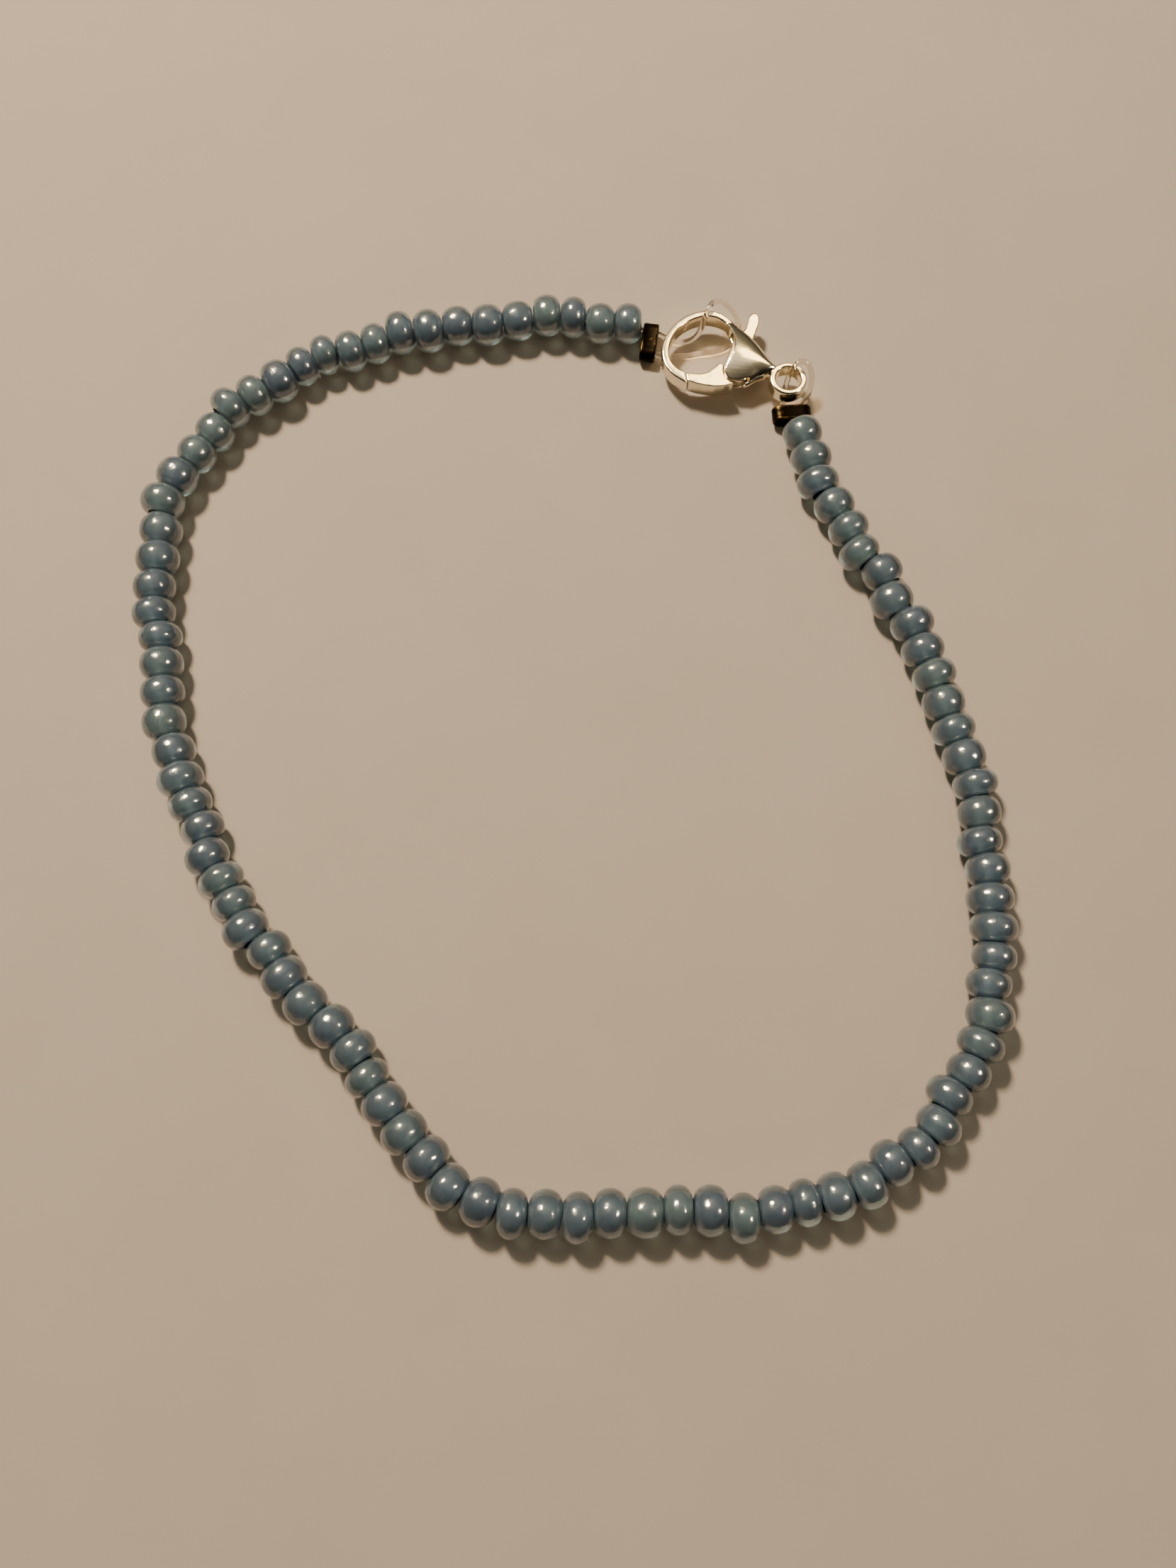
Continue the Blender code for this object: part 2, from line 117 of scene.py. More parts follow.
# %% [markdown]
# ## The table and the light
#
# The bracelet lies on a plain pale board under warm indoor light. A lamp behind and to the left
# throws the shadows, and a weak one in front fills them. Neither is seen in a polished surface. Two
# globes are seen there and light nothing matt: one makes the main glint on each bead, the other a
# small second glint on the right. One lamp could do both jobs, but then the size of its glint and
# the softness of its shadow could not be set apart.
#
# The sky is a soft glow round one direction and almost dark at the walls, because polished metal
# shows what is round it, and without a dark wall it would look like white plastic. The camera sees
# a plain pale wall in its place, so that a low view has no black horizon.

# %% Table
TABLE_SIZE = 0.9
MOTTLE_SIZE = 12 * MM
BOARD_DARK = "#A2978A"
BOARD_LIGHT = "#AA9F92"


def matt_board():
    """Matt painted board: hardly any gloss, and only a faint, slow change of tone."""
    made, tree, out = new_material("matt_board")
    place = add_node(tree, "ShaderNodeTexCoord").outputs["Object"]
    mottle = add_node(
        tree, "ShaderNodeTexNoise", Vector=place, Scale=1 / MOTTLE_SIZE, Detail=3.0, Roughness=0.6
    )
    tone = add_node(
        tree,
        "ShaderNodeMix",
        {"data_type": "RGBA"},
        Factor=mottle.outputs["Fac"],
        _6=colour(BOARD_DARK),
        _7=colour(BOARD_LIGHT),
    )
    shader = add_node(
        tree, "ShaderNodeBsdfPrincipled", Base_Color=tone.outputs[2], Roughness=0.9
    )
    tree.links.new(shader.outputs[0], out.inputs["Surface"])
    return made


def flat_square(name, size):
    mesh = bpy.data.meshes.new(name)
    half = size / 2
    corners = [(-half, -half, 0), (half, -half, 0), (half, half, 0), (-half, half, 0)]
    mesh.from_pydata(corners, [], [(0, 1, 2, 3)])
    return new_object(name, mesh)


table = flat_square("table", TABLE_SIZE)
table.data.materials.append(matt_board())
print("table:", TABLE_SIZE, "m square")

# %% Lamps and sky
# Places and sizes are in millimetres.
KEY_LAMP = {"place": (-107, 196, 311), "size": 56, "watts": 2.6, "colour": "#FFE9CF"}
KEY_GLOBE = {"place": (-233, 318, 560), "size": 178, "watts": 16.5, "colour": "#FFECC0"}
SIDE_GLOBE = {"place": (300, -50, 300), "size": 62, "watts": 2.0, "colour": "#FFE9C8"}
FRONT_FILL = {"place": (60, -420, 170), "size": 260, "watts": 0.4, "colour": "#FFE9CF"}
SKY_MIDDLE = (0.05, 0.53, 0.846)
SKY_STRENGTH = 0.9
SKY_TINT = "#FFF0D6"
# The cosine of the angle from the sky's middle, and the share of the tint there.
SKY_SHADES = [(0.30, 0.005), (0.62, 0.05), (0.86, 0.20), (0.93, 0.38), (1.0, 1.0)]
WALL_SHADE = "#C4B097"


def add_lamp(name, lamp):
    """A round area lamp, placed in millimetres and turned to the middle of the bracelet."""
    light = bpy.data.lights.new(name, "AREA")
    light.shape = "DISK"
    light.size = lamp["size"] * MM
    light.energy = lamp["watts"]
    light.color = colour(lamp["colour"])[:3]
    made = new_object(name, light)
    made.location = Vector(lamp["place"]) * MM
    made.rotation_euler = (-made.location).to_track_quat("-Z", "Y").to_euler()
    made.visible_transmission = False
    return made


for name, lamp in (("key_lamp", KEY_LAMP), ("front_fill", FRONT_FILL)):
    add_lamp(name, lamp).visible_glossy = False
for name, lamp in (("key_globe", KEY_GLOBE), ("side_globe", SIDE_GLOBE)):
    add_lamp(name, lamp).visible_diffuse = False

sky = bpy.data.worlds.new("room")
bpy.context.scene.world = sky
sky.use_nodes = True
sky.node_tree.nodes.clear()
direction = add_node(sky.node_tree, "ShaderNodeTexCoord").outputs["Generated"]
near_middle = add_node(
    sky.node_tree,
    "ShaderNodeVectorMath",
    {"operation": "DOT_PRODUCT"},
    _0=direction,
    _1=SKY_MIDDLE,
)
ramp = add_node(sky.node_tree, "ShaderNodeValToRGB", Fac=near_middle.outputs["Value"])
ramp.color_ramp.interpolation = "B_SPLINE"
for place, _ in SKY_SHADES[1:-1]:
    ramp.color_ramp.elements.new(place)
for stop, (place, share) in zip(ramp.color_ramp.elements, SKY_SHADES):
    stop.position = place
    stop.color = (*(share * part for part in colour(SKY_TINT)[:3]), 1)
glow = add_node(
    sky.node_tree, "ShaderNodeBackground", Color=ramp.outputs[0], Strength=SKY_STRENGTH
)
wall = add_node(sky.node_tree, "ShaderNodeBackground", Color=colour(WALL_SHADE), Strength=1.0)
seen = add_node(
    sky.node_tree,
    "ShaderNodeMixShader",
    Fac=add_node(sky.node_tree, "ShaderNodeLightPath").outputs["Is Camera Ray"],
    _1=glow.outputs[0],
    _2=wall.outputs[0],
)
add_node(sky.node_tree, "ShaderNodeOutputWorld", Surface=seen.outputs[0])

# %% [markdown]
# ## Where the beads lie
#
# The string follows one smooth line round the loop. Seed beads are all a little different in
# length and size, so each takes its own room on the line and steps a little to one side. The same
# seed and the same order of draws as in the model's source put every glass bead on its solid.

# %% The line of the string
CURVE_SAMPLES = 40
STRING_POINT_SPACING = 0.05
STRING_ROUTE = [
    (4.8, 31.9),
    (-3.6, 31.85),
    (-11.9, 30.6),
    (-19.5, 27.7),
    (-25.6, 22.4),
    (-28.6, 14.9),
    (-28.1, 6.6),
    (-26.4, -1.5),
    (-23.3, -9.1),
    (-18.8, -15.9),
    (-13.5, -22.0),
    (-8.3, -28.6),
    (-4.9, -31.0),
    (-0.7, -31.8),
    (7.5, -31.9),
    (15.2, -31.5),
    (22.0, -28.1),
    (26.6, -21.7),
    (28.3, -14.0),
    (27.8, -6.3),
    (26.1, 1.4),
    (23.4, 9.2),
    (19.4, 16.3),
    (17.5, 22.4),
]


def blend(first, last, first_knot, last_knot, at):
    """Goes straight from the first point to the last as at goes from knot to knot."""
    share = (at - first_knot) / (last_knot - first_knot)
    return first * (1 - share) + last * share


def curve_piece(a, b, c, d):
    """Points after b up to c on the centripetal Catmull-Rom curve through four points."""
    steps = [math.dist(here, there) ** 0.5 for here, there in ((a, b), (b, c), (c, d))]
    knot_a, knot_b, knot_c, knot_d = np.cumsum([0.0, *steps])
    at = np.linspace(knot_b, knot_c, CURVE_SAMPLES + 1)[1:, None]
    ab = blend(a, b, knot_a, knot_b, at)
    bc = blend(b, c, knot_b, knot_c, at)
    cd = blend(c, d, knot_c, knot_d, at)
    abc = blend(ab, bc, knot_a, knot_c, at)
    bcd = blend(bc, cd, knot_b, knot_d, at)
    return blend(abc, bcd, knot_b, knot_c, at)


def smooth_path(points, spacing):
    """Points evenly spaced along a smooth curve through the given ones."""
    given = np.array(points, float)
    given = np.vstack([2 * given[0] - given[1], given, 2 * given[-1] - given[-2]])
    pieces = [curve_piece(*group) for group in zip(given, given[1:], given[2:], given[3:])]
    dense = np.vstack([given[1:2], *pieces])
    along = np.concatenate([[0.0], np.cumsum(np.linalg.norm(np.diff(dense, axis=0), axis=1))])
    places = np.linspace(0.0, along[-1], max(2, round(along[-1] / spacing) + 1))
    return np.column_stack([np.interp(places, along, column) for column in dense.T])


# %% One row for each bead
BEAD_COUNT = 88
BEADS_ON_LEFT = 44
BEAD_DIAMETER = 3.05 * MM
BEAD_SPREAD = 0.028
BEAD_LENGTH_SPREAD = 0.07
BEAD_SIDE_STEP = 0.22 * MM
BEAD_TURN = math.radians(2.2)
MOST_UNEVEN = 1.6
BEAD_SEED = 389671
HEADING_REACH = 0.5 * MM


def bead_rows():
    """One row per bead: middle, heading, radius and half length, in metres and radians."""
    chance = np.random.default_rng(BEAD_SEED)

    def uneven(spread):
        return spread * np.clip(chance.normal(size=BEAD_COUNT), -MOST_UNEVEN, MOST_UNEVEN)

    line = smooth_path(STRING_ROUTE, STRING_POINT_SPACING) * MM
    steps = np.linalg.norm(np.diff(line, axis=0), axis=1)
    along = np.concatenate([[0.0], np.cumsum(steps)])
    lengths = 1 + uneven(BEAD_LENGTH_SPREAD)
    sizes = 1 + uneven(BEAD_SPREAD)
    side_steps = uneven(BEAD_SIDE_STEP)
    turns = uneven(BEAD_TURN)
    edges = np.concatenate([[0.0], np.cumsum(lengths)])
    middles = (edges[:-1] + edges[1:]) / 2
    scale = along[-1] / (middles[-1] - middles[0])
    rows = []
    for middle, length, size, side_step, turn in zip(middles, lengths, sizes, side_steps, turns):
        place = (middle - middles[0]) * scale
        x, y = (np.interp(place, along, line[:, k]) for k in (0, 1))
        ahead = [np.interp(place + HEADING_REACH, along, line[:, k]) for k in (0, 1)]
        behind = [np.interp(place - HEADING_REACH, along, line[:, k]) for k in (0, 1)]
        heading = math.atan2(ahead[1] - behind[1], ahead[0] - behind[0])
        radius = BEAD_DIAMETER / 2 * size
        side = Vector((-math.sin(heading), math.cos(heading), 0))
        centre = Vector((x, y, radius)) + side * side_step
        rows.append((centre, heading + turn, radius, length * scale / 2))
    return rows


rows = bead_rows()
typical_half_length = float(np.median([half for _, _, _, half in rows]))
print(len(rows), "beads, typical length", round(typical_half_length * 2 / MM, 2), "mm")

# %% [markdown]
# ## The glass and its lining
#
# These are lined seed beads. The bead is cut from a drawn tube of glass and fire polished, so it is
# a smooth ring, and its hole is painted slate blue. Round glass magnifies what is inside it by its
# refractive index, so the thin painted hole fills most of the bead, and only the rim stays clear.
# The glass is a little milky, which softens the paint and gives the bead its pearly body. A thin
# lustre is fired on over it, as smooth as a coat of varnish, so each lamp still makes a small sharp
# glint. Painting all that on an opaque bead would look right from one side alone. Real glass over a
# painted hole looks right from everywhere.
#
# Light that has to find its way through glass to a small lamp makes a slow and speckled render.
# So the glass is a dark, see-through filter to shadow rays only, and still glass to the eye.


# %% Glass
FIRE_DENT = 0.42 * MM
FIRE_DENT_DEPTH = 0.03 * MM
MILK_DEPTH = 2.0 * MM


def filter_shadows(tree, out, shader, code):
    """Shows the eye a shader, and shadow rays a clear filter of one colour."""
    clear = add_node(tree, "ShaderNodeBsdfTransparent", Color=colour(code))
    path = add_node(tree, "ShaderNodeLightPath")
    mixed = add_node(
        tree,
        "ShaderNodeMixShader",
        Fac=path.outputs["Is Shadow Ray"],
        _1=shader.outputs[0],
        _2=clear.outputs[0],
    )
    tree.links.new(mixed.outputs[0], out.inputs["Surface"])


def lustred_glass():
    """Milky soda-lime glass under a fired lustre: a sharp wet glint on a soft pearly body."""
    made, tree, out = new_material("lustred_soda_glass")
    place = add_node(tree, "ShaderNodeTexCoord").outputs["Object"]
    dents = add_node(tree, "ShaderNodeTexNoise", Vector=place, Scale=1 / FIRE_DENT, Detail=1.0)
    bump = add_node(
        tree, "ShaderNodeBump", Strength=1.0, Distance=FIRE_DENT_DEPTH, Height=dents.outputs["Fac"]
    )
    glass = add_node(
        tree,
        "ShaderNodeBsdfPrincipled",
        Base_Color=colour("#808E97"),
        Roughness=0.22,
        IOR=1.52,
        Transmission_Weight=0.78,
        Subsurface_Weight=1.0,
        Subsurface_Radius=(1.0, 1.0, 1.0),
        Subsurface_Scale=MILK_DEPTH,
        Coat_Weight=1.0,
        Coat_Roughness=0.02,
        Normal=bump.outputs[0],
        Coat_Normal=bump.outputs[0],
    )
    filter_shadows(tree, out, glass, "#4E5A62")
    return made


# %% Lining
PEARL_STREAK = 0.5 * MM
STREAK_SHARE = 0.35


def pearl_lining():
    """Slate blue paint inside the hole: half matt, streaky, and each bead its own shade."""
    made, tree, out = new_material("pearl_lining")
    tint = add_node(tree, "ShaderNodeAttribute", {"attribute_name": "tint"}).outputs["Fac"]
    shade = add_node(tree, "ShaderNodeValToRGB", Fac=tint)
    shade.color_ramp.elements[0].color = colour("#4A5F80")
    shade.color_ramp.elements.new(0.5).color = colour("#60778F")
    shade.color_ramp.elements[2].color = colour("#7A9190")
    place = add_node(tree, "ShaderNodeTexCoord").outputs["Object"]
    streak = add_node(
        tree, "ShaderNodeTexNoise", Vector=place, Scale=1 / PEARL_STREAK, Detail=2.0
    )
    uneven = add_node(
        tree,
        "ShaderNodeMix",
        {"data_type": "RGBA", "blend_type": "MULTIPLY"},
        Factor=STREAK_SHARE,
        _6=shade.outputs[0],
        _7=streak.outputs["Color"],
    )
    paint = add_node(
        tree,
        "ShaderNodeBsdfPrincipled",
        Base_Color=uneven.outputs[2],
        Roughness=0.5,
    )
    tree.links.new(paint.outputs[0], out.inputs["Surface"])
    return made


# %% [markdown]
# ## The bead
#
# A seed bead is a slice of that tube, tumbled in a hot drum until its edges melt round. Its hole
# stays straight. It could be turned with a Screw modifier and copied 88 times with an array. Here
# one tree does both. A Bezier segment is the bead's section, from one face over the waist to the
# other. A straight line closes it, which is the wall of the hole, and the section is swept round
# a small circle. Then a bead is set on the point of each row, turned and stretched by what the
# point carries, and faint dents from the drum are pressed in all over.


# %% Helpers for geometry trees
def new_tree(name, sizes):
    """A geometry tree with an input and an output, and one input for each named size."""
    tree = bpy.data.node_groups.new(name, "GeometryNodeTree")
    tree.interface.new_socket("Geometry", in_out="INPUT", socket_type="NodeSocketGeometry")
    for label, kind in sizes.items():
        tree.interface.new_socket(label, in_out="INPUT", socket_type=kind)
    tree.interface.new_socket("Geometry", in_out="OUTPUT", socket_type="NodeSocketGeometry")
    given = tree.nodes.new("NodeGroupInput")
    return tree, given.outputs, tree.nodes.new("NodeGroupOutput")


def run_tree(thing, tree, sizes, name):
    """Runs a geometry tree on an object and gives its result as a plain mesh object."""
    modifier = thing.modifiers.new(tree.name, "NODES")
    modifier.node_group = tree
    sockets = {s.name: s.identifier for s in tree.interface.items_tree if s.in_out == "INPUT"}
    for label, value in sizes.items():
        modifier[sockets[label]] = value
    return plain_mesh(thing, name)


def plain_mesh(thing, name):
    """The evaluated shape of an object as a new object with no modifiers, at the origin."""
    graph = bpy.context.evaluated_depsgraph_get()
    mesh = bpy.data.meshes.new_from_object(thing.evaluated_get(graph))
    mesh.name = name
    bpy.data.objects.remove(thing)
    return new_object(name, mesh)


def points_object(name, places, edges=()):
    mesh = bpy.data.meshes.new(name)
    mesh.from_pydata([tuple(place) for place in places], list(edges), [])
    return new_object(name, mesh)


def carry(thing, name, kind, values):
    """Stores one value for each point of a mesh."""
    attribute = thing.data.attributes.new(name, kind, "POINT")
    attribute.data.foreach_set("vector" if kind == "FLOAT_VECTOR" else "value", np.ravel(values))


def check_closed(thing):
    """Prints a mesh's size, and whether it is closed with its faces pointing out."""
    bm = bmesh.new()
    bm.from_mesh(thing.data)
    volume = bm.calc_volume(signed=True) / MM**3
    triangles = sum(len(face.verts) - 2 for face in bm.faces)
    loose = sum(not edge.is_manifold for edge in bm.edges)
    bm.free()
    print(thing.name, triangles, "triangles,", round(volume, 2), "mm3, open edges", loose)


def finish_piece(thing, body, slot, *nodes):
    """Prints a finished piece's size, sets it on the body it moves with and hides the nodes it
    replaces. The slot is not used.
    """
    check_closed(thing)
    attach(thing, body)
    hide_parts(*nodes)


# %% The bead tree
HOLE_RADIUS = 0.70 * MM
# Shares of the bead's half length, for the section's corner at the face and its handle.
FACE_AT = 0.99
HANDLE_AT = 0.9
SIDES_ROUND_HOLE = 44
SECTION_STEPS = 26
WALL_REACH = 1.03 * HOLE_RADIUS
RIM_ANGLE = math.radians(35)
DENT_SIZE = 1.4 * MM
DENT_DEPTH = 0.04 * MM
# Noise is 0.5 on average. Less than that is taken off in height, to lift the dents off the table.
NO_DENT = (0.5, 0.5, 0.2)


def bead_tree():
    tree, given, out = new_tree(
        "lined_beads",
        {
            "Hole Radius": "NodeSocketFloat",
            "Face Corner": "NodeSocketVector",
            "Face Handle": "NodeSocketVector",
            "Sides": "NodeSocketInt",
            "Section Steps": "NodeSocketInt",
            "Glass": "NodeSocketMaterial",
            "Lining": "NodeSocketMaterial",
        },
    )
    mirror = {"operation": "MULTIPLY"}
    far_corner = add_node(
        tree, "ShaderNodeVectorMath", mirror, _0=given["Face Corner"], _1=(1, -1, 1)
    )
    far_handle = add_node(
        tree, "ShaderNodeVectorMath", mirror, _0=given["Face Handle"], _1=(1, -1, 1)
    )
    section = add_node(
        tree,
        "GeometryNodeCurvePrimitiveBezierSegment",
        Resolution=given["Section Steps"],
        Start=far_corner.outputs[0],
        Start_Handle=far_handle.outputs[0],
        End_Handle=given["Face Handle"],
        End=given["Face Corner"],
    )
    section = add_node(
        tree, "GeometryNodeResampleCurve", {"mode": "EVALUATED"}, Curve=section.outputs[0]
    )
    section = add_node(
        tree, "GeometryNodeSetSplineCyclic", Geometry=section.outputs[0], Cyclic=True
    )
    hole = add_node(
        tree,
        "GeometryNodeCurvePrimitiveCircle",
        Resolution=given["Sides"],
        Radius=given["Hole Radius"],
    )
    hole = add_node(tree, "GeometryNodeSetCurveNormal", {"mode": "Z_UP"}, Curve=hole.outputs[0])
    bead = add_node(
        tree, "GeometryNodeCurveToMesh", Curve=hole.outputs[0], Profile_Curve=section.outputs[0]
    )
    bead = add_node(
        tree, "GeometryNodeTransform", Geometry=bead.outputs[0], Rotation=(0, math.pi / 2, 0)
    )
    place = add_node(tree, "GeometryNodeInputPosition")
    off_axis = add_node(
        tree, "ShaderNodeVectorMath", {"operation": "MULTIPLY"}, _0=place.outputs[0], _1=(0, 1, 1)
    )
    reach = add_node(tree, "ShaderNodeVectorMath", {"operation": "LENGTH"}, _0=off_axis.outputs[0])
    on_wall = add_node(
        tree,
        "FunctionNodeCompare",
        {"data_type": "FLOAT", "operation": "LESS_THAN"},
        A=reach.outputs["Value"],
        B=WALL_REACH,
    )
    bead = add_node(
        tree,
        "GeometryNodeStoreNamedAttribute",
        {"data_type": "BOOLEAN", "domain": "FACE"},
        Geometry=bead.outputs[0],
        Name="wall",
        Value=on_wall.outputs[0],
    )
    bend = add_node(tree, "GeometryNodeInputMeshEdgeAngle")
    sharp = add_node(
        tree,
        "FunctionNodeCompare",
        {"data_type": "FLOAT", "operation": "GREATER_THAN"},
        A=bend.outputs["Unsigned Angle"],
        B=RIM_ANGLE,
    )
    bead = add_node(tree, "GeometryNodeSetShadeSmooth", Geometry=bead.outputs[0])
    bead = add_node(
        tree,
        "GeometryNodeSetShadeSmooth",
        {"domain": "EDGE"},
        Geometry=bead.outputs[0],
        Selection=sharp.outputs[0],
        Shade_Smooth=False,
    )
    turned = add_node(
        tree, "GeometryNodeInputNamedAttribute", {"data_type": "FLOAT_VECTOR"}, Name="turned"
    )
    sized = add_node(
        tree, "GeometryNodeInputNamedAttribute", {"data_type": "FLOAT_VECTOR"}, Name="sized"
    )
    string = add_node(
        tree,
        "GeometryNodeInstanceOnPoints",
        Points=given["Geometry"],
        Instance=bead.outputs[0],
        Rotation=turned.outputs[0],
        Scale=sized.outputs[0],
    )
    string = add_node(tree, "GeometryNodeRealizeInstances", Geometry=string.outputs[0])
    dents = add_node(tree, "ShaderNodeTexNoise", Scale=1 / DENT_SIZE, Detail=1.0)
    push = add_node(
        tree,
        "ShaderNodeVectorMath",
        {"operation": "SUBTRACT"},
        _0=dents.outputs["Color"],
        _1=NO_DENT,
    )
    push = add_node(
        tree, "ShaderNodeVectorMath", {"operation": "SCALE"}, _0=push.outputs[0], Scale=DENT_DEPTH
    )
    string = add_node(
        tree, "GeometryNodeSetPosition", Geometry=string.outputs[0], Offset=push.outputs[0]
    )
    string = add_node(
        tree, "GeometryNodeSetMaterial", Geometry=string.outputs[0], Material=given["Glass"]
    )
    wall = add_node(tree, "GeometryNodeInputNamedAttribute", {"data_type": "BOOLEAN"}, Name="wall")
    string = add_node(
        tree,
        "GeometryNodeSetMaterial",
        Geometry=string.outputs[0],
        Selection=wall.outputs[0],
        Material=given["Lining"],
    )
    tree.links.new(string.outputs[0], out.inputs[0])
    return tree


# %% Two strings of beads
TINT_SEED = 21
TINT_SPREAD = 0.28
# A Bezier segment with level handles bulges by three quarters of their length.
HANDLE_PER_BULGE = 4 / 3

tints = np.random.default_rng(TINT_SEED).normal(0.5, TINT_SPREAD, BEAD_COUNT).clip(0, 1)
beads = bead_tree()
glass = lustred_glass()
lining = pearl_lining()
print("bead materials:", glass.name, "and", lining.name)


def make_beads(name, node, first, last):
    own = rows[first:last]
    points = points_object(name + "_points", [centre for centre, _, _, _ in own])
    carry(points, "turned", "FLOAT_VECTOR", [(0, 0, heading) for _, heading, _, _ in own])
    sizes = []
    for _, _, radius, half in own:
        across = radius / (BEAD_DIAMETER / 2)
        sizes.append((half / typical_half_length, across, across))
    carry(points, "sized", "FLOAT_VECTOR", sizes)
    carry(points, "tint", "FLOAT", tints[first:last])
    handle = (BEAD_DIAMETER / 2 - HOLE_RADIUS) * HANDLE_PER_BULGE
    made = run_tree(
        points,
        beads,
        {
            "Hole Radius": HOLE_RADIUS,
            "Face Corner": (0, typical_half_length * FACE_AT, 0),
            "Face Handle": (handle, typical_half_length * HANDLE_AT, 0),
            "Sides": SIDES_ROUND_HOLE,
            "Section Steps": SECTION_STEPS,
            "Glass": glass,
            "Lining": lining,
        },
        name,
    )
    finish_piece(made, "bracelet", "blue_glass", node)


make_beads("glass_beads_left", "bead_string_left", 0, BEADS_ON_LEFT)
make_beads("glass_beads_right", "bead_string_right", BEADS_ON_LEFT, BEAD_COUNT)

# %% [markdown]
# ## The cord
#
# Clear nylon beading line is drawn through a round die, so it is an even, smooth rod. A curve
# object with a round bevel would do. A tree that sweeps a circle along a line of points does the
# same for the thread in the beads and for both loops, each from its own route. Nylon line has
# almost no colour: the eye finds it by the bright and dark lines along its edges, so it has to be
# real refracting material over the real table.


# %% Nylon
NYLON_HAZE_SIZE = 0.8 * MM


def drawn_nylon():
    """Clear nylon monofilament, drawn: water clear, with a hard glint along the top."""
    made, tree, out = new_material("drawn_nylon_line")
    place = add_node(tree, "ShaderNodeTexCoord").outputs["Object"]
    haze = add_node(
        tree, "ShaderNodeTexNoise", Vector=place, Scale=1 / NYLON_HAZE_SIZE, Detail=2.0
    )
    rough = add_node(
        tree, "ShaderNodeMapRange", Value=haze.outputs["Fac"], To_Min=0.03, To_Max=0.16
    )
    nylon = add_node(
        tree,
        "ShaderNodeBsdfPrincipled",
        Base_Color=colour("#EFE9E2"),
        Roughness=rough.outputs[0],
        IOR=1.53,
        Transmission_Weight=1.0,
    )
    filter_shadows(tree, out, nylon, "#D9D0C4")
    return made


# %% The cord tree
CORD_RADIUS = 0.2 * MM
CORD_SIDES = 20


def cord_tree():
    tree, given, out = new_tree(
        "cord",
        {
            "Radius": "NodeSocketFloat",
            "Sides": "NodeSocketInt",
            "Nylon": "NodeSocketMaterial",
        },
    )
    line = add_node(tree, "GeometryNodeMeshToCurve", Mesh=given["Geometry"])
    section = add_node(
        tree, "GeometryNodeCurvePrimitiveCircle", Resolution=given["Sides"], Radius=given["Radius"]
    )
    cord = add_node(
        tree,
        "GeometryNodeCurveToMesh",
        Curve=line.outputs[0],
        Profile_Curve=section.outputs[0],
        Fill_Caps=True,
    )
    cord = add_node(tree, "GeometryNodeSetShadeSmooth", Geometry=cord.outputs[0])
    cord = add_node(tree, "GeometryNodeRealizeInstances", Geometry=cord.outputs[0])
    cord = add_node(
        tree, "GeometryNodeSetMaterial", Geometry=cord.outputs[0], Material=given["Nylon"]
    )
    tree.links.new(cord.outputs[0], out.inputs[0])
    return tree


cord = cord_tree()
nylon = drawn_nylon()


def make_cord(name, route, spacing, *nodes):
    """A round cord through the route's points, which are in millimetres."""
    line = smooth_path(route, spacing) * MM
    points = points_object(name + "_line", line, [(k, k + 1) for k in range(len(line) - 1)])
    sizes = {"Radius": CORD_RADIUS, "Sides": CORD_SIDES, "Nylon": nylon}
    made = run_tree(points, cord, sizes, name)
    finish_piece(made, "bracelet", "clear_nylon", *nodes)


# %% The thread through the beads
THREAD_SPACING = 0.25
TO_LEFT_CRIMP = [(6.25, 31.30, 0.76), (5.95, 31.42, 0.90), (5.50, 31.58, 1.14)]
TO_RIGHT_CRIMP = [
    (17.10, 23.05, 1.20),
    (16.98, 23.45, 0.94),
    (16.93, 23.85, 0.78),
    (16.92, 24.15, 0.72),
]

make_cord(
    "bead_thread",
    TO_LEFT_CRIMP + [tuple(centre / MM) for centre, _, _, _ in rows] + TO_RIGHT_CRIMP,
    THREAD_SPACING,
    "bead_string_left",
    "bead_string_right",
)

# %% The two loops at the clasp
LOOP_SPACING = 0.08
HOOK_LOOP_ROUTE = [
    (6.60, 31.36, 0.72),
    (7.20, 31.26, 0.70),
    (7.65, 31.15, 0.44),
    (8.25, 30.98, 0.24),
    (9.05, 30.88, 0.30),
    (9.80, 30.90, 0.85),
    (10.22, 31.06, 1.75),
    (10.48, 31.45, 2.62),
    (10.85, 32.20, 2.92),
    (11.25, 32.80, 2.55),
    (11.95, 33.15, 1.90),
    (12.75, 32.85, 1.15),
    (13.20, 32.15, 0.50),
    (13.05, 31.35, 0.24),
    (12.30, 30.55, 0.24),
    (11.35, 30.10, 0.24),
    (10.30, 29.95, 0.24),
    (9.30, 29.75, 0.24),
    (8.30, 29.68, 0.24),
    (7.70, 29.66, 0.26),
    (7.38, 29.62, 0.36),
    (7.10, 29.58, 0.58),
    (6.86, 29.59, 0.72),
    (6.36, 29.67, 0.72),
]
EYE_LOOP_ROUTE = [
    (17.54, 24.45, 0.72),
    (17.54, 25.02, 0.74),
    (17.85, 25.50, 1.00),
    (18.17, 26.20, 1.55),
    (18.14, 27.00, 2.25),
    (17.75, 27.50, 2.72),
    (17.20, 27.45, 2.82),
    (16.75, 27.10, 2.50),
    (16.52, 26.82, 1.90),
    (16.44, 26.65, 1.20),
    (16.42, 26.30, 0.55),
    (16.34, 25.80, 0.27),
    (16.20, 25.38, 0.28),
    (16.08, 25.16, 0.46),
    (16.03, 24.96, 0.68),
    (16.04, 24.75, 0.73),
    (16.04, 24.40, 0.72),
]

make_cord("hook_cord", HOOK_LOOP_ROUTE, LOOP_SPACING, "hook_loop")
make_cord("eye_cord", EYE_LOOP_ROUTE, LOOP_SPACING, "eye_loop")

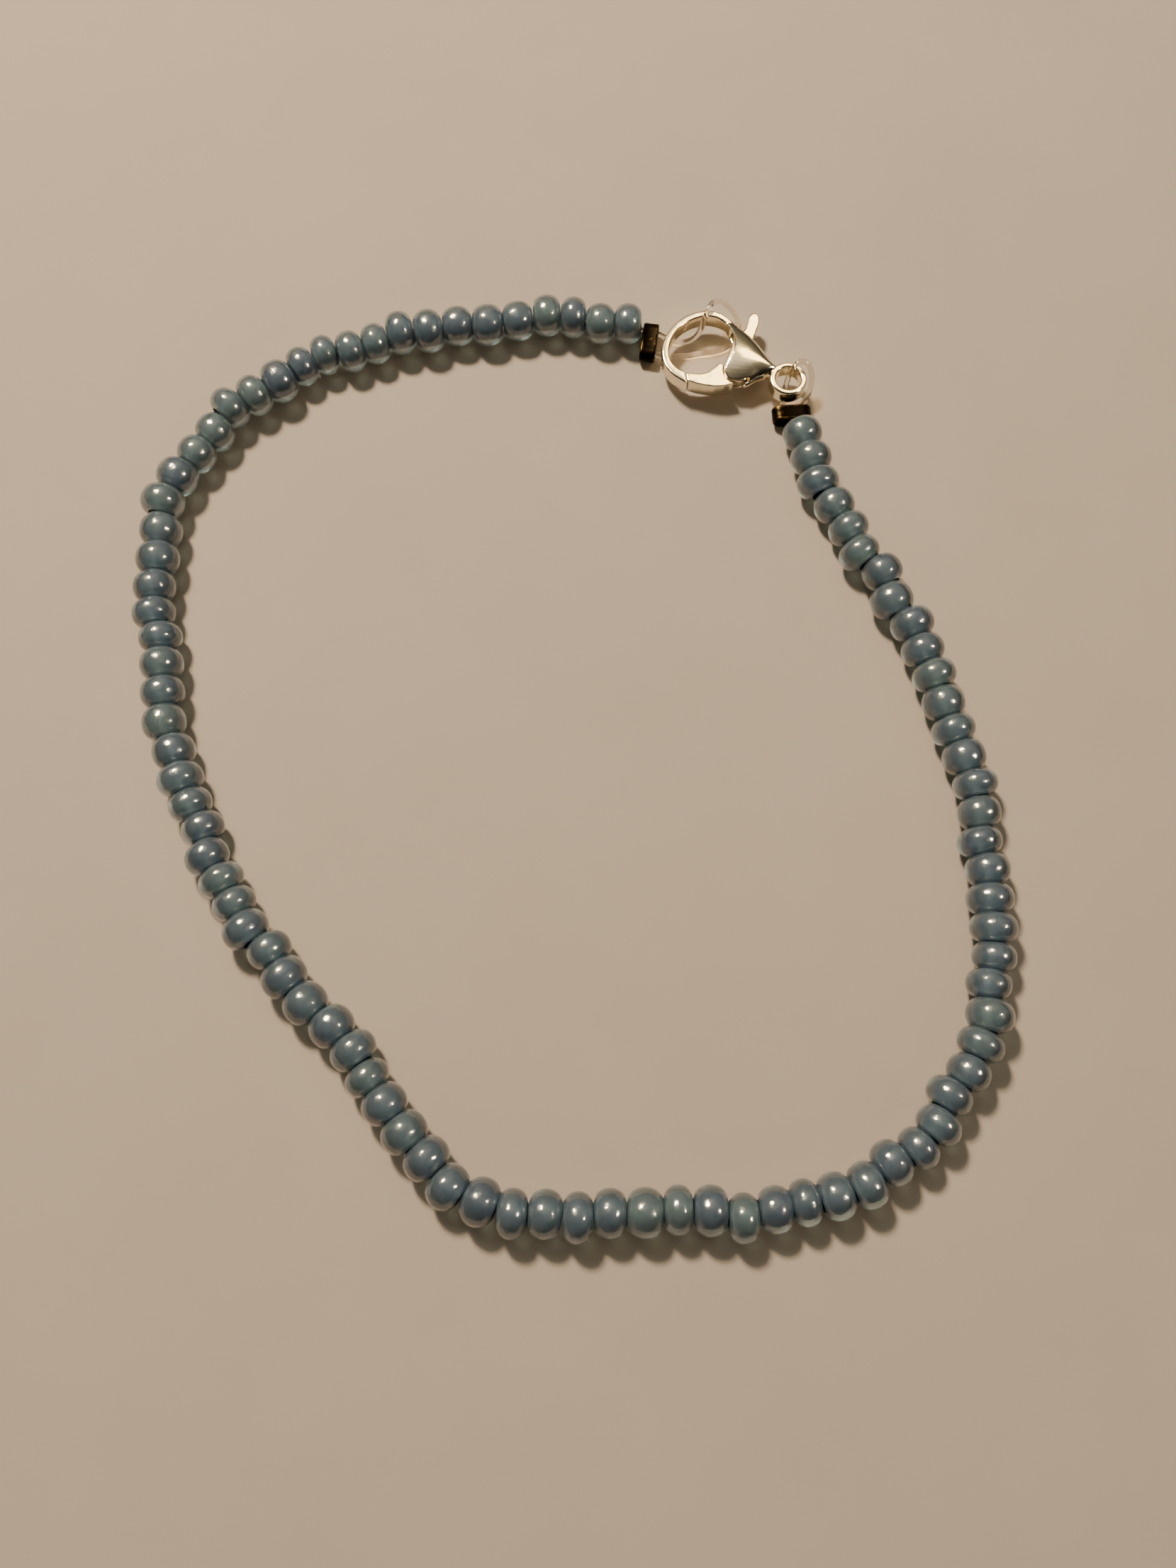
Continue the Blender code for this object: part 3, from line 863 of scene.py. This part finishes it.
# %% [markdown]
# ## The crimps
#
# A crimp is a short, soft brass tube. It is slipped over the cord and squeezed with pliers until it
# holds, so its section becomes a flat oval and its middle is pressed in a little. Its plating is a
# dark antique bronze, almost black, which rubs through to golden brown on the rims. A squashed
# cylinder would have sharp rims and no wall. Here the section of the wall, a strip with rounded
# corners, is carried round the oval, so that it has a real wall and a real mouth. Each point keeps
# how far it lies on the rims, for the material to rub the plating there.

# %% Skins over rings of points
def skin(rings, closed=False):
    """Points and faces of a skin over rings of equal size, capped at both ends unless closed."""
    size = len(rings[0])
    points = [point for ring in rings for point in ring]
    faces = []
    for k in range(len(rings) if closed else len(rings) - 1):
        here = k * size
        there = (k + 1) % len(rings) * size
        for i in range(size):
            j = (i + 1) % size
            faces.append((here + i, here + j, there + j, there + i))
    if not closed:
        faces += [tuple(range(size)), tuple(range(len(points) - size, len(points)))]
    return points, faces


def skin_object(name, points, faces):
    """A mesh object from points and faces, with its faces turned outward."""
    mesh = bpy.data.meshes.new(name)
    mesh.from_pydata([tuple(point) for point in points], [], faces)
    bm = bmesh.new()
    bm.from_mesh(mesh)
    bmesh.ops.recalc_face_normals(bm, faces=bm.faces)
    bm.to_mesh(mesh)
    bm.free()
    return new_object(name, mesh)


# %% Bronze
BRONZE_PATCH = 0.9 * MM
# The plating's own grain is about 0.01 mm. It is drawn coarser, so that it shows.
BRONZE_GRAIN = 0.12 * MM
BRONZE_GRAIN_DEPTH = 0.02 * MM
RIM_RUB = 0.30
RUB_STARTS, RUB_ENDS = 0.60, 0.92


def antique_bronze():
    """Antique bronze plating, dipped dark and rubbed: golden brown on rims and in patches."""
    made, tree, out = new_material("antique_bronze_plate")
    place = add_node(tree, "ShaderNodeTexCoord").outputs["Object"]
    patch = add_node(
        tree, "ShaderNodeTexNoise", Vector=place, Scale=1 / BRONZE_PATCH, Detail=3.0, Roughness=0.6
    )
    grain = add_node(
        tree, "ShaderNodeTexNoise", Vector=place, Scale=1 / BRONZE_GRAIN, Detail=2.0
    )
    rim = add_node(tree, "ShaderNodeAttribute", {"attribute_name": "rim"}).outputs["Fac"]
    rubbed = add_node(
        tree,
        "ShaderNodeMath",
        {"operation": "MULTIPLY_ADD"},
        _0=rim,
        _1=RIM_RUB,
        _2=patch.outputs[0],
    )
    shade = add_node(tree, "ShaderNodeValToRGB", Fac=rubbed.outputs[0])
    shade.color_ramp.elements[0].position = RUB_STARTS
    shade.color_ramp.elements[0].color = colour("#0E0A06")
    shade.color_ramp.elements[1].position = RUB_ENDS
    shade.color_ramp.elements[1].color = colour("#66502F")
    rough = add_node(
        tree, "ShaderNodeMapRange", Value=grain.outputs["Fac"], To_Min=0.28, To_Max=0.52
    )
    bump = add_node(
        tree,
        "ShaderNodeBump",
        Strength=0.35,
        Distance=BRONZE_GRAIN_DEPTH,
        Height=grain.outputs["Fac"],
    )
    metal = add_node(
        tree,
        "ShaderNodeBsdfPrincipled",
        Base_Color=shade.outputs[0],
        Metallic=1.0,
        Roughness=rough.outputs[0],
        Normal=bump.outputs[0],
    )
    tree.links.new(metal.outputs[0], out.inputs["Surface"])
    return made


bronze = antique_bronze()
print("crimp material:", bronze.name)

# %% Crimps
# Millimetres and degrees.
CRIMP_LENGTH = 1.15
CRIMP_THICKNESS = 1.3
CRIMP_WALL = 0.33
CRIMP_HEIGHT = 0.72
CRIMP_RIM = 0.13
CRIMP_PRESS = 0.08
# The share of the way to the mouth where the plating starts to be rubbed.
RUBBED_FROM = 0.6
CORNER_STEPS = 5
WALL_STEPS = 14
OVAL_STEPS = 14
LEFT_CRIMP = {"middle": (6.4, 30.52), "width": 3.15, "angle": -8.5}
RIGHT_CRIMP = {"middle": (16.8, 24.35), "width": 2.9, "angle": 93.0}


def wall_section():
    """Places round the tube's wall: along the tube, and depth below its outside."""
    along = CRIMP_LENGTH / 2 - CRIMP_RIM
    corners = [(along, CRIMP_RIM, -90), (along, CRIMP_WALL - CRIMP_RIM, 0)]
    corners += [(-along, CRIMP_WALL - CRIMP_RIM, 90), (-along, CRIMP_RIM, 180)]
    places = []
    for x, depth, first in corners:
        for angle in np.radians(np.linspace(first, first + 90, CORNER_STEPS)):
            places.append((x + CRIMP_RIM * math.cos(angle), depth + CRIMP_RIM * math.sin(angle)))
        if first in (0, 180):
            places += [(x * (1 - 2 * k / WALL_STEPS), places[-1][1]) for k in range(1, WALL_STEPS)]
    return places


def oval(width, thickness):
    """Outline of a flattened tube's section: two bends and two flats, anticlockwise."""
    radius = thickness / 2
    outline = []
    for sign in (1, -1):
        middle = width / 2 - radius
        for a in np.radians(np.linspace(-90, 90, OVAL_STEPS + 1)):
            outline.append((sign * (middle + radius * math.cos(a)), sign * radius * math.sin(a)))
        flat = np.linspace(middle, -middle, OVAL_STEPS + 1)[1:-1]
        outline += [(sign * x, sign * radius) for x in flat]
    return outline


def make_crimp(name, node, crimp):
    """A tube pressed flat, open at both ends, with a wall that is rounded at the rims."""
    width = crimp["width"]
    rings = []
    rims = []
    for along, depth in wall_section():
        ring = []
        for across, up in oval(width - 2 * depth, CRIMP_THICKNESS - 2 * depth):
            pressed = CRIMP_PRESS * (1 - (2 * across / width) ** 2)
            pressed *= 1 - (2 * along / CRIMP_LENGTH) ** 2
            ring.append(Vector((along, across, up - math.copysign(pressed, up))))
            outer = max(0, 1 - depth / CRIMP_RIM)
            towards_mouth = (abs(along) * 2 / CRIMP_LENGTH - RUBBED_FROM) / (1 - RUBBED_FROM)
            rims.append(outer * max(0, towards_mouth))
        rings.append(ring)
    made = skin_object(name, *skin(rings, closed=True))
    carry(made, "rim", "FLOAT", rims)
    turn = Matrix.Rotation(math.radians(crimp["angle"]), 4, "Z")
    x, y = crimp["middle"]
    place = Matrix.Translation((x * MM, y * MM, CRIMP_HEIGHT * MM))
    made.data.transform(place @ turn @ Matrix.Scale(MM, 4))
    made.data.materials.append(bronze)
    made.data.shade_smooth()
    finish_piece(made, "bracelet", "dark_bronze", node)


make_crimp("pressed_crimp_left", "crimp_left", LEFT_CRIMP)
make_crimp("pressed_crimp_right", "crimp_right", RIGHT_CRIMP)

# %% [markdown]
# ## The clasp
#
# A lobster claw is two castings. The body has the cheeks, the hook and the eye in one piece, and
# the lever is pinned between the cheeks. Both are cast in brass in a rubber mould, tumbled with
# stones until every edge is soft, and plated with silver. Subdivision surfaces would need a
# hand-made cage for it. Here the real steps are followed: each part is drawn roughly, parts are
# joined and cut as solids, a voxel remesh melts them into one skin, as in a mould, and smoothing
# wears the edges down, as tumbling does. It is drawn in millimetres, round the middle of the eye,
# and then set in its place. The tables are close to the model's, but the hook, the gate and the eye
# are 0.35 mm less tall, to look as slim as in the photograph.

# %% Silver
RIPPLE_SIZE = 1.1 * MM
RIPPLE_DEPTH = 0.04 * MM
TARNISH_SIZE = 2.2 * MM
TARNISH_STARTS, TARNISH_ENDS = 0.35, 0.75
# Tumbling leaves marks of about 0.01 mm. They are drawn coarser, so that they show.
SCRATCH_SIZE = 0.1 * MM


def silver_plate():
    """Silver plate on tumbled brass: bright, not quite a mirror, with a breath of warm tarnish."""
    made, tree, out = new_material("tumbled_silver_plate")
    place = add_node(tree, "ShaderNodeTexCoord").outputs["Object"]
    tarnish = add_node(
        tree, "ShaderNodeTexNoise", Vector=place, Scale=1 / TARNISH_SIZE, Detail=4.0, Roughness=0.6
    )
    shade = add_node(tree, "ShaderNodeValToRGB", Fac=tarnish.outputs["Fac"])
    shade.color_ramp.elements[0].position = TARNISH_STARTS
    shade.color_ramp.elements[0].color = colour("#F8F0DC")
    shade.color_ramp.elements[1].position = TARNISH_ENDS
    shade.color_ramp.elements[1].color = colour("#EADCB8")
    scratch = add_node(
        tree, "ShaderNodeTexNoise", Vector=place, Scale=1 / SCRATCH_SIZE, Detail=3.0
    )
    rough = add_node(
        tree, "ShaderNodeMapRange", Value=scratch.outputs["Fac"], To_Min=0.08, To_Max=0.20
    )
    ripple = add_node(tree, "ShaderNodeTexNoise", Vector=place, Scale=1 / RIPPLE_SIZE, Detail=1.0)
    bump = add_node(
        tree, "ShaderNodeBump", Strength=0.5, Distance=RIPPLE_DEPTH, Height=ripple.outputs["Fac"]
    )
    metal = add_node(
        tree,
        "ShaderNodeBsdfPrincipled",
        Base_Color=shade.outputs[0],
        Metallic=1.0,
        Roughness=rough.outputs[0],
        Normal=bump.outputs[0],
    )
    tree.links.new(metal.outputs[0], out.inputs["Surface"])
    return made


silver = silver_plate()
print("clasp material:", silver.name)

# %% Outlines and solids
CUTTER_TALL = 4.0
EDGE_SPACING = 0.1


def arc(centre, radius, first, last, steps):
    """Points along an arc, from the first angle to the last, in degrees."""
    angles = np.radians(np.linspace(first, last, steps + 1))
    return [(centre[0] + radius * math.cos(a), centre[1] + radius * math.sin(a)) for a in angles]


def circle(centre, radius, sides):
    return arc(centre, radius, 0.0, 360.0 - 360.0 / sides, sides - 1)


def smooth_edge(points):
    """The same edge, in short even steps on a smooth curve."""
    return [tuple(point) for point in smooth_path(points, EDGE_SPACING)]


def prism(name, outline, tall):
    """A flat shape of even height, centred on the clasp's middle plane."""
    rings = [[Vector((x, y, z)) for x, y in outline] for z in (-tall / 2, tall / 2)]
    return skin_object(name, *skin(rings))


def rounded_section(width, tall, points, squareness):
    """Half width and height pairs round a section that is between an ellipse and a box."""
    section = []
    for k in range(points):
        angle = 2 * math.pi * (k + 0.5) / points
        c, s = math.cos(angle), math.sin(angle)
        across = math.copysign(abs(c) ** (2 / squareness), c) * width / 2
        up = math.copysign(abs(s) ** (2 / squareness), s) * tall / 2
        section.append((across, up))
    return section


def boolean(target, other, operation):
    """Joins the other shape to the target or cuts it away, and hides the other shape."""
    modifier = target.modifiers.new(other.name, "BOOLEAN")
    modifier.operation = operation
    modifier.object = other
    other.hide_render = True


# %% Casting
CASTING_VOXEL = 0.055
TUMBLING_ROUNDS = 6
# The clasp's place, turn and height are the model's, in millimetres and degrees.
CLASP_EYE = (16.48, 26.7)
CLASP_ANGLE = -14.0
CLASP_HEIGHT = 1.55


def cast(thing, name, tools):
    """Melts a rough clasp shape into one skin with soft edges, and sets it in its place."""
    skinned = thing.modifiers.new("mould", "REMESH")
    skinned.mode = "VOXEL"
    skinned.voxel_size = CASTING_VOXEL
    skinned.use_smooth_shade = True
    worn = thing.modifiers.new("tumbling", "SMOOTH")
    worn.iterations = TUMBLING_ROUNDS
    made = plain_mesh(thing, name)
    for tool in tools:
        bpy.data.objects.remove(tool)
    x, y = CLASP_EYE
    turn = Matrix.Rotation(math.radians(CLASP_ANGLE), 4, "Z")
    made.data.transform(Matrix.Scale(MM, 4) @ Matrix.Translation((x, y, CLASP_HEIGHT)) @ turn)
    made.data.materials.clear()
    made.data.materials.append(silver)
    return made


# %% The clasp's body
EYE_MIDDLE = (0.02, -0.12)
EYE_RADIUS = 1.38
EYE_HOLE_RADIUS = 0.90
EYE_TALL = 1.25
EYE_SIDES = 64
EYE_POINTS = 24
EYE_SQUARENESS = 4.5
PIVOT = (-3.6, -0.35)
PIVOT_RADIUS = 0.24
PIVOT_HOLE_RADIUS = 0.36
PIVOT_SIDES = 32
SLOT_TALL = 1.0
POST_TALL = SLOT_TALL + 0.3
# Each rib: a point on the spine, a point on the lower edge, and half its height.
CHEEK_RIBS = [
    (-1.02, 0.86, -1.12, 0.20, 0.66),
    (-1.50, 1.24, -1.55, -0.18, 0.82),
    (-2.18, 1.97, -2.15, -0.58, 0.94),
    (-3.07, 2.82, -2.78, -1.18, 1.01),
    (-4.04, 3.52, -3.50, -1.66, 1.02),
    (-5.11, 4.02, -4.30, -1.90, 0.98),
    (-6.10, 4.18, -5.20, -1.90, 0.90),
    (-6.90, 4.05, -6.00, -1.60, 0.80),
]
RIB_SPACING = 0.15
RIB_POINTS = 48
RIB_SQUARENESS = 1.8
# The cheeks end towards the hook at a hollow edge, and then on an arc round the pivot.
CRESCENT = [
    (-6.75, 4.02),
    (-5.90, 3.84),
    (-5.12, 3.12),
    (-4.60, 2.32),
    (-4.38, 1.55),
    (-4.40, 0.75),
]
CHEEK_ARC_RADIUS = 1.06
CHEEK_ARC_ANGLES = (168.0, 265.0)
CHEEK_ARC_STEPS = 16
BEYOND_CHEEKS = [(-3.60, -2.80), (-8.20, -2.80), (-8.20, 5.00), (-6.80, 5.00)]
# Each place on the hook's middle line, with the band's width and height there.
HOOK_BAND = [
    (-4.60, 3.05, 0.46, 0.90),
    (-5.30, 3.55, 0.50, 1.10),
    (-6.10, 3.84, 0.54, 1.30),
    (-6.86, 3.82, 0.56, 1.35),
    (-7.62, 3.50, 0.56, 1.35),
    (-8.36, 2.90, 0.56, 1.35),
    (-8.97, 2.02, 0.54, 1.35),
    (-9.27, 0.93, 0.54, 1.35),
    (-9.22, -0.12, 0.56, 1.35),
    (-8.86, -0.94, 0.60, 1.35),
    (-8.22, -1.52, 0.70, 1.35),
    (-7.40, -1.82, 0.84, 1.35),
    (-6.90, -1.97, 0.88, 1.35),
]
BAND_SPACING = 0.12
BAND_POINTS = 28
BAND_SQUARENESS = 7.0
# The gate's tip swings on an arc, and the hook's tip is cut back along it to leave a slit.
GATE_TIP_RADIUS = 3.92
GATE_SLIT = 0.08
GATE_SWING_DEPTH = 1
GATE_SWING_ANGLES = (-172.0, -142.0)
GATE_SWING_STEPS = 24
SLOT_OUTLINE = [
    (-5.60, -2.70),
    (-3.35, -2.70),
    (-3.05, -1.30),
    (-2.68, -0.75),
    (-2.55, 0.10),
    (-2.20, 1.25),
    (-1.95, 2.05),
    (-1.80, 3.40),
    (-4.45, 4.90),
    (-4.45, 3.10),
    (-5.30, 2.95),
]


def make_cheeks():
    """The drop-shaped shell: ribs laid from the neck towards the hook."""
    rings = []
    for spine_x, spine_y, lower_x, lower_y, half in smooth_path(CHEEK_RIBS, RIB_SPACING):
        across = Vector((spine_x - lower_x, spine_y - lower_y, 0))
        middle = Vector((spine_x + lower_x, spine_y + lower_y, 0)) / 2
        outline = rounded_section(across.length, 2 * half, RIB_POINTS, RIB_SQUARENESS)
        rings.append([middle + across.normalized() * a + Vector((0, 0, b)) for a, b in outline])
    return skin_object("cheeks", *skin(rings))


def make_band():
    """The hook: a band on edge, along its middle line, with its own width and height."""
    line = smooth_path(HOOK_BAND, BAND_SPACING)
    rings = []
    for k, (x, y, width, tall) in enumerate(line):
        before = line[max(0, k - 1)]
        after = line[min(len(line) - 1, k + 1)]
        heading = Vector((after[0] - before[0], after[1] - before[1], 0)).normalized()
        side = Vector((-heading.y, heading.x, 0))
        section = rounded_section(width, tall, BAND_POINTS, BAND_SQUARENESS)
        rings.append([Vector((x, y, 0)) + side * a + Vector((0, 0, b)) for a, b in section])
    return skin_object("hook_band", *skin(rings))


def make_eye():
    """The clasp's eye: a short tube with rounded rims."""
    width = EYE_RADIUS - EYE_HOLE_RADIUS
    section = rounded_section(width, EYE_TALL, EYE_POINTS, EYE_SQUARENESS)
    eye = Vector((*EYE_MIDDLE, 0))
    middle = EYE_HOLE_RADIUS + width / 2
    rings = []
    for k in range(EYE_SIDES):
        angle = 2 * math.pi * (k + 0.5) / EYE_SIDES
        outward = Vector((math.cos(angle), math.sin(angle), 0))
        rings.append([eye + outward * (middle + a) + Vector((0, 0, b)) for a, b in section])
    return skin_object("eye_ring", *skin(rings, closed=True))


cheeks = make_cheeks()
cheek_arc = arc(PIVOT, CHEEK_ARC_RADIUS, *CHEEK_ARC_ANGLES, CHEEK_ARC_STEPS)
beside = smooth_edge(CRESCENT) + cheek_arc + BEYOND_CHEEKS
swing_outside = GATE_TIP_RADIUS + GATE_SLIT
swing_inside = GATE_TIP_RADIUS - GATE_SWING_DEPTH
gate_swing = arc(PIVOT, swing_outside, *GATE_SWING_ANGLES, GATE_SWING_STEPS)
gate_swing += arc(PIVOT, swing_inside, *reversed(GATE_SWING_ANGLES), GATE_SWING_STEPS)
eye_hole = circle(EYE_MIDDLE, EYE_HOLE_RADIUS, EYE_SIDES)
steps = [
    (prism("hook_side_cutter", beside, CUTTER_TALL), "DIFFERENCE"),
    (prism("eye_cutter", eye_hole, CUTTER_TALL), "DIFFERENCE"),
    (make_band(), "UNION"),
    (prism("gate_swing_cutter", gate_swing, CUTTER_TALL), "DIFFERENCE"),
    (make_eye(), "UNION"),
    (prism("slot_cutter", SLOT_OUTLINE, SLOT_TALL), "DIFFERENCE"),
    (prism("pivot_post", circle(PIVOT, PIVOT_RADIUS, PIVOT_SIDES), POST_TALL), "UNION"),
]
for tool, operation in steps:
    boolean(cheeks, tool, operation)
claw = cast(cheeks, "claw_body", [tool for tool, _ in steps])
finish_piece(claw, "bracelet", "silver_plate", "clasp_body")

# %% [markdown]
# ## The lever
#
# The lever is one flat casting: a thick gate that closes the hook, a thinner plate between the
# cheeks, round the pivot, and a thumb tab that stands out of the spine. It is made in the same way
# as the clasp's body, and rides on the lever's own body, so that it turns when the model's hinge
# does.

# %% The clasp's lever
GATE_TALL = 1.35
GATE_TIP_ANGLES = (-163.0, -152.5)
GATE_ROOT_RADIUS = 1.2
GATE_ROOT_ANGLES = (262.3, 173.8)
GATE_ROOT_STEPS = 16
GATE_UPPER_EDGE = [(-5.14, -0.10), (-5.52, -0.68), (-5.92, -1.14), (-6.50, -1.40)]
GATE_LOWER_EDGE = [(-6.20, -2.24), (-5.10, -2.16), (-4.40, -1.94)]
PLATE_TALL = 0.76
HUB_RADIUS = 0.75
HUB_ANGLES = (30.0, -110.0)
HUB_STEPS = 14
PLATE_CORNER = (-4.60, -1.25)
PLATE_OUTLINE = [
    (-4.85, -0.10),
    (-4.74, 0.60),
    (-4.62, 1.50),
    (-4.58, 2.30),
    (-4.30, 2.85),
    (-3.98, 3.30),
    (-3.93, 3.85),
    (-3.88, 4.60),
    (-3.62, 4.86),
    (-3.28, 4.82),
    (-3.06, 4.30),
    (-3.12, 3.20),
    (-3.18, 2.60),
    (-3.05, 0.60),
]

tip = arc(PIVOT, GATE_TIP_RADIUS, *GATE_TIP_ANGLES, 2)
root = arc(PIVOT, GATE_ROOT_RADIUS, *GATE_ROOT_ANGLES, GATE_ROOT_STEPS)
gate = smooth_edge(GATE_UPPER_EDGE) + tip + GATE_LOWER_EDGE + root
lever = prism("gate", gate, GATE_TALL)
hub = arc(PIVOT, HUB_RADIUS, *HUB_ANGLES, HUB_STEPS)
plate = smooth_edge(PLATE_OUTLINE) + hub + [PLATE_CORNER]
pivot_hole = circle(PIVOT, PIVOT_HOLE_RADIUS, PIVOT_SIDES)
steps = [
    (prism("lever_plate", plate, PLATE_TALL), "UNION"),
    (prism("pivot_cutter", pivot_hole, CUTTER_TALL), "DIFFERENCE"),
]
for tool, operation in steps:
    boolean(lever, tool, operation)
lever = cast(lever, "claw_lever", [tool for tool, _ in steps])
finish_piece(lever, "lever", "silver_plate", "clasp_lever")

# %% [markdown]
# ## A card for the silver
#
# Bright silver shows the room more than its own colour, so a jeweller's table has a white card that
# it can mirror. A bright patch in the sky would do the same, but each round bead would mirror it
# too, as a second, grey glint. Light linking keeps the card to the clasp: only the pieces in its
# collection see it, and it lights nothing that is matt.

# %% The card
SILVER_CARD = {"place": (72, 127, 166), "size": 107, "watts": 0.23, "colour": "#FFD88A"}

card = add_lamp("silver_card", SILVER_CARD)
card.visible_diffuse = False
seen_by = bpy.data.collections.new("lit_by_silver_card")
for piece in (claw, lever):
    seen_by.objects.link(piece)
card.light_linking.receiver_collection = seen_by
